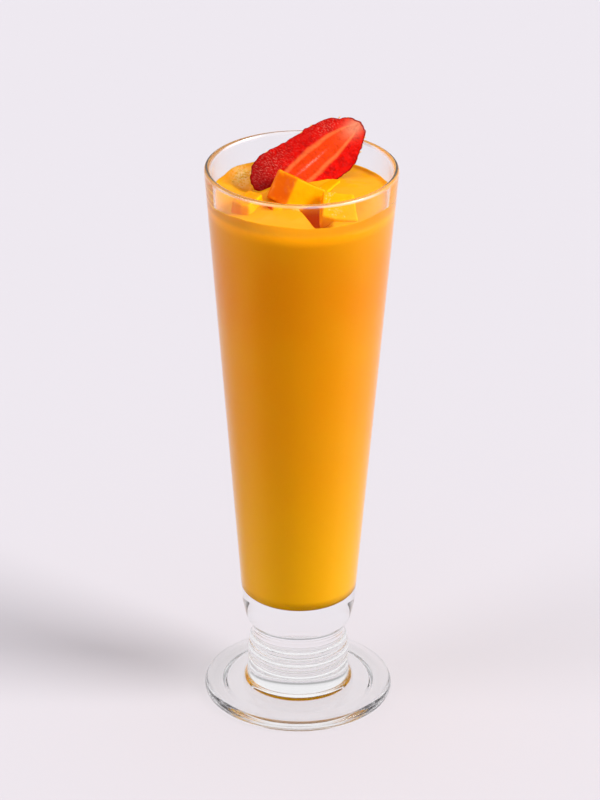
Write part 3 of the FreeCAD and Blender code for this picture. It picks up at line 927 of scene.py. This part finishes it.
def scattering_tree():
    """Geometry Nodes that put a copy of a grain on every point, turned by the point's marks and sized at
    random.
    """
    tree = bpy.data.node_groups.new("scattering", "GeometryNodeTree")
    tree.interface.new_socket("Points", in_out="INPUT", socket_type="NodeSocketGeometry")
    tree.interface.new_socket("Grain", in_out="INPUT", socket_type="NodeSocketObject")
    tree.interface.new_socket("Smallest", in_out="INPUT", socket_type="NodeSocketFloat")
    tree.interface.new_socket("Largest", in_out="INPUT", socket_type="NodeSocketFloat")
    tree.interface.new_socket("Seed", in_out="INPUT", socket_type="NodeSocketInt")
    tree.interface.new_socket("Finish", in_out="INPUT", socket_type="NodeSocketMaterial")
    tree.interface.new_socket("Piece", in_out="OUTPUT", socket_type="NodeSocketGeometry")
    add, link = tree.nodes.new, tree.links.new
    start, end = add("NodeGroupInput"), add("NodeGroupOutput")
    grain = add("GeometryNodeObjectInfo")
    facing = add("GeometryNodeInputNamedAttribute")
    facing.data_type = "FLOAT_VECTOR"
    facing.inputs["Name"].default_value = "facing"
    pointing = add("GeometryNodeInputNamedAttribute")
    pointing.data_type = "FLOAT_VECTOR"
    pointing.inputs["Name"].default_value = "pointing"
    stand = add("FunctionNodeAxesToRotation")
    stand.primary_axis = "Z"
    stand.secondary_axis = "Y"
    size = add("FunctionNodeRandomValue")
    size.data_type = "FLOAT"
    spread = add("GeometryNodeInstanceOnPoints")
    realize = add("GeometryNodeRealizeInstances")
    smooth = add("GeometryNodeSetShadeSmooth")
    paint = add("GeometryNodeSetMaterial")
    link(start.outputs["Grain"], grain.inputs["Object"])
    link(facing.outputs["Attribute"], stand.inputs["Primary Axis"])
    link(pointing.outputs["Attribute"], stand.inputs["Secondary Axis"])
    link(start.outputs["Smallest"], size.inputs[2])
    link(start.outputs["Largest"], size.inputs[3])
    link(start.outputs["Seed"], size.inputs["Seed"])
    link(start.outputs["Points"], spread.inputs["Points"])
    link(grain.outputs["Geometry"], spread.inputs["Instance"])
    link(stand.outputs[0], spread.inputs["Rotation"])
    link(size.outputs[1], spread.inputs["Scale"])
    link(spread.outputs[0], realize.inputs[0])
    link(realize.outputs[0], smooth.inputs["Geometry"])
    link(smooth.outputs[0], paint.inputs["Geometry"])
    link(start.outputs["Finish"], paint.inputs["Material"])
    link(paint.outputs[0], end.inputs["Piece"])
    return tree


def marked_points(name, points, facings, pointings):
    """Loose points with the two directions that the scattering reads."""
    cloud = bpy.data.meshes.new(name)
    cloud.from_pydata(points, [], [])
    for mark, vectors in (("facing", facings), ("pointing", pointings)):
        layer = cloud.attributes.new(mark, "FLOAT_VECTOR", "POINT")
        layer.data.foreach_set("vector", np.array([vector[:] for vector in vectors]).ravel())
    return cloud


def grain_object(name, shaping, rounds):
    """One small closed grain, shaped by a function of a point on the unit ball."""
    ball = bmesh.new()
    bmesh.ops.create_icosphere(ball, subdivisions=rounds, radius=1.0)
    for vertex in ball.verts:
        vertex.co = shaping(vertex.co)
    mesh = bpy.data.meshes.new(name)
    ball.to_mesh(mesh)
    ball.free()
    return bpy.data.objects.new(name, mesh)


def seed_shape(at):
    """A flattened drop, narrower towards +Y."""
    narrow = 1 - 0.55 * max(0.0, at.y) ** 1.5
    return Vector((at.x * SEED_WIDE / 2 * narrow, at.y * SEED_LONG / 2, at.z * SEED_WIDE * 0.3))


def seed_finish():
    """Dry straw-coloured husk, browner in places."""
    finish = Finish("strawberry_seeds")
    tone = finish.grain(900.0, detail=2.0)
    finish.surface({"Base Color": finish.mix(tone, (0.62, 0.30, 0.06, 1), (0.80, 0.52, 0.15, 1)),
                    "Roughness": tone * 0.2 + 0.35, "Coat Weight": 0.3,
                    "Normal": finish.bump(tone, 0.00005)})
    return finish.material


scatterer = scattering_tree()
seed_grain = grain_object("seed_grain", seed_shape, 2)
tip = BERRY_TURN @ Vector((0, -1, 0))
seed_spots = [berry_point(*(place - away * SEED_SINK)) for place, away in seeds]
seed_facings = [BERRY_TURN @ away for _, away in seeds]
seed_points = marked_points("seed_points", seed_spots, seed_facings, [tip] * len(seeds))
seed_piece = grown("strawberry_seeds", seed_points, scatterer, grain=seed_grain, smallest=0.85, largest=1.1,
                   seed=3, finish=seed_finish())
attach(seed_piece, "root")

# ---------------------------------------------------------------- foam
# Air bubbles from the blender. They gather beside the right chunk, on its face and in a patch at the left.
FOAM_PATCHES = [
    # (x, y, half width, half depth, bubbles), in millimetres
    (10.5, -13.5, 2.6, 8.0, 24),
    (12.5, -21.0, 3.5, 4.0, 20),
    (-22.5, 18.5, 3.0, 6.0, 45),
    (-1.0, -16.5, 1.6, 2.4, 14),
    (-17.0, 26.5, 5.0, 2.2, 30),
]


def foam_finish():
    """Thin shiny films over the smoothie's own colour, a little paler."""
    finish = Finish("foam")
    tone = finish.grain(600.0, detail=1.0)
    finish.surface({"Base Color": finish.mix(tone, (0.84, 0.40, 0.04, 1), (0.88, 0.48, 0.10, 1)),
                    "Roughness": tone * 0.1 + 0.2, "Subsurface Weight": 0.4,
                    "Subsurface Radius": (1.0, 0.6, 0.3), "Subsurface Scale": 0.001,
                    "Specular IOR Level": 0.1, "Coat Weight": 0.25, "Coat Roughness": 0.05,
                    "Normal": finish.bump(tone, 0.00003)})
    return finish.material


ground = []
for obj in [smoothie] + [bpy.data.objects[node.replace("mango_chunk", "mango")] for node in CHUNK_NODES]:
    ground.append(BVHTree.FromPolygons([v.co for v in obj.data.vertices],
                                       [p.vertices[:] for p in obj.data.polygons]))
draw = random.Random(19)
bubble_points, bubble_facings = [], []
for at_x, at_y, wide, deep, count in FOAM_PATCHES:
    for _ in range(count):
        x_mm, y_mm = draw.gauss(at_x, wide / 2), draw.gauss(at_y, deep / 2)
        if math.hypot(x_mm, y_mm) > LEVEL_RADIUS / MM - 0.6:
            continue
        hits = [tree.ray_cast(Vector((x_mm * MM, y_mm * MM, LIP + 0.05)), Vector((0, 0, -1)))
                for tree in ground]
        hits = [hit for hit in hits if hit[0] is not None]
        place, facing = max(hits, key=lambda hit: hit[0].z)[:2]
        bubble_points.append(place)
        bubble_facings.append(facing)
bubble_grain = grain_object("bubble_grain", lambda at: Vector((at.x, at.y, at.z * 0.75)) * MM, 2)
bubble_pointings = [Vector((0, 1, 0))] * len(bubble_points)
foam = grown("foam_bubbles", marked_points("foam_points", bubble_points, bubble_facings, bubble_pointings),
             scatterer, grain=bubble_grain, smallest=0.15, largest=0.44, seed=5, finish=foam_finish())
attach(foam, "root")
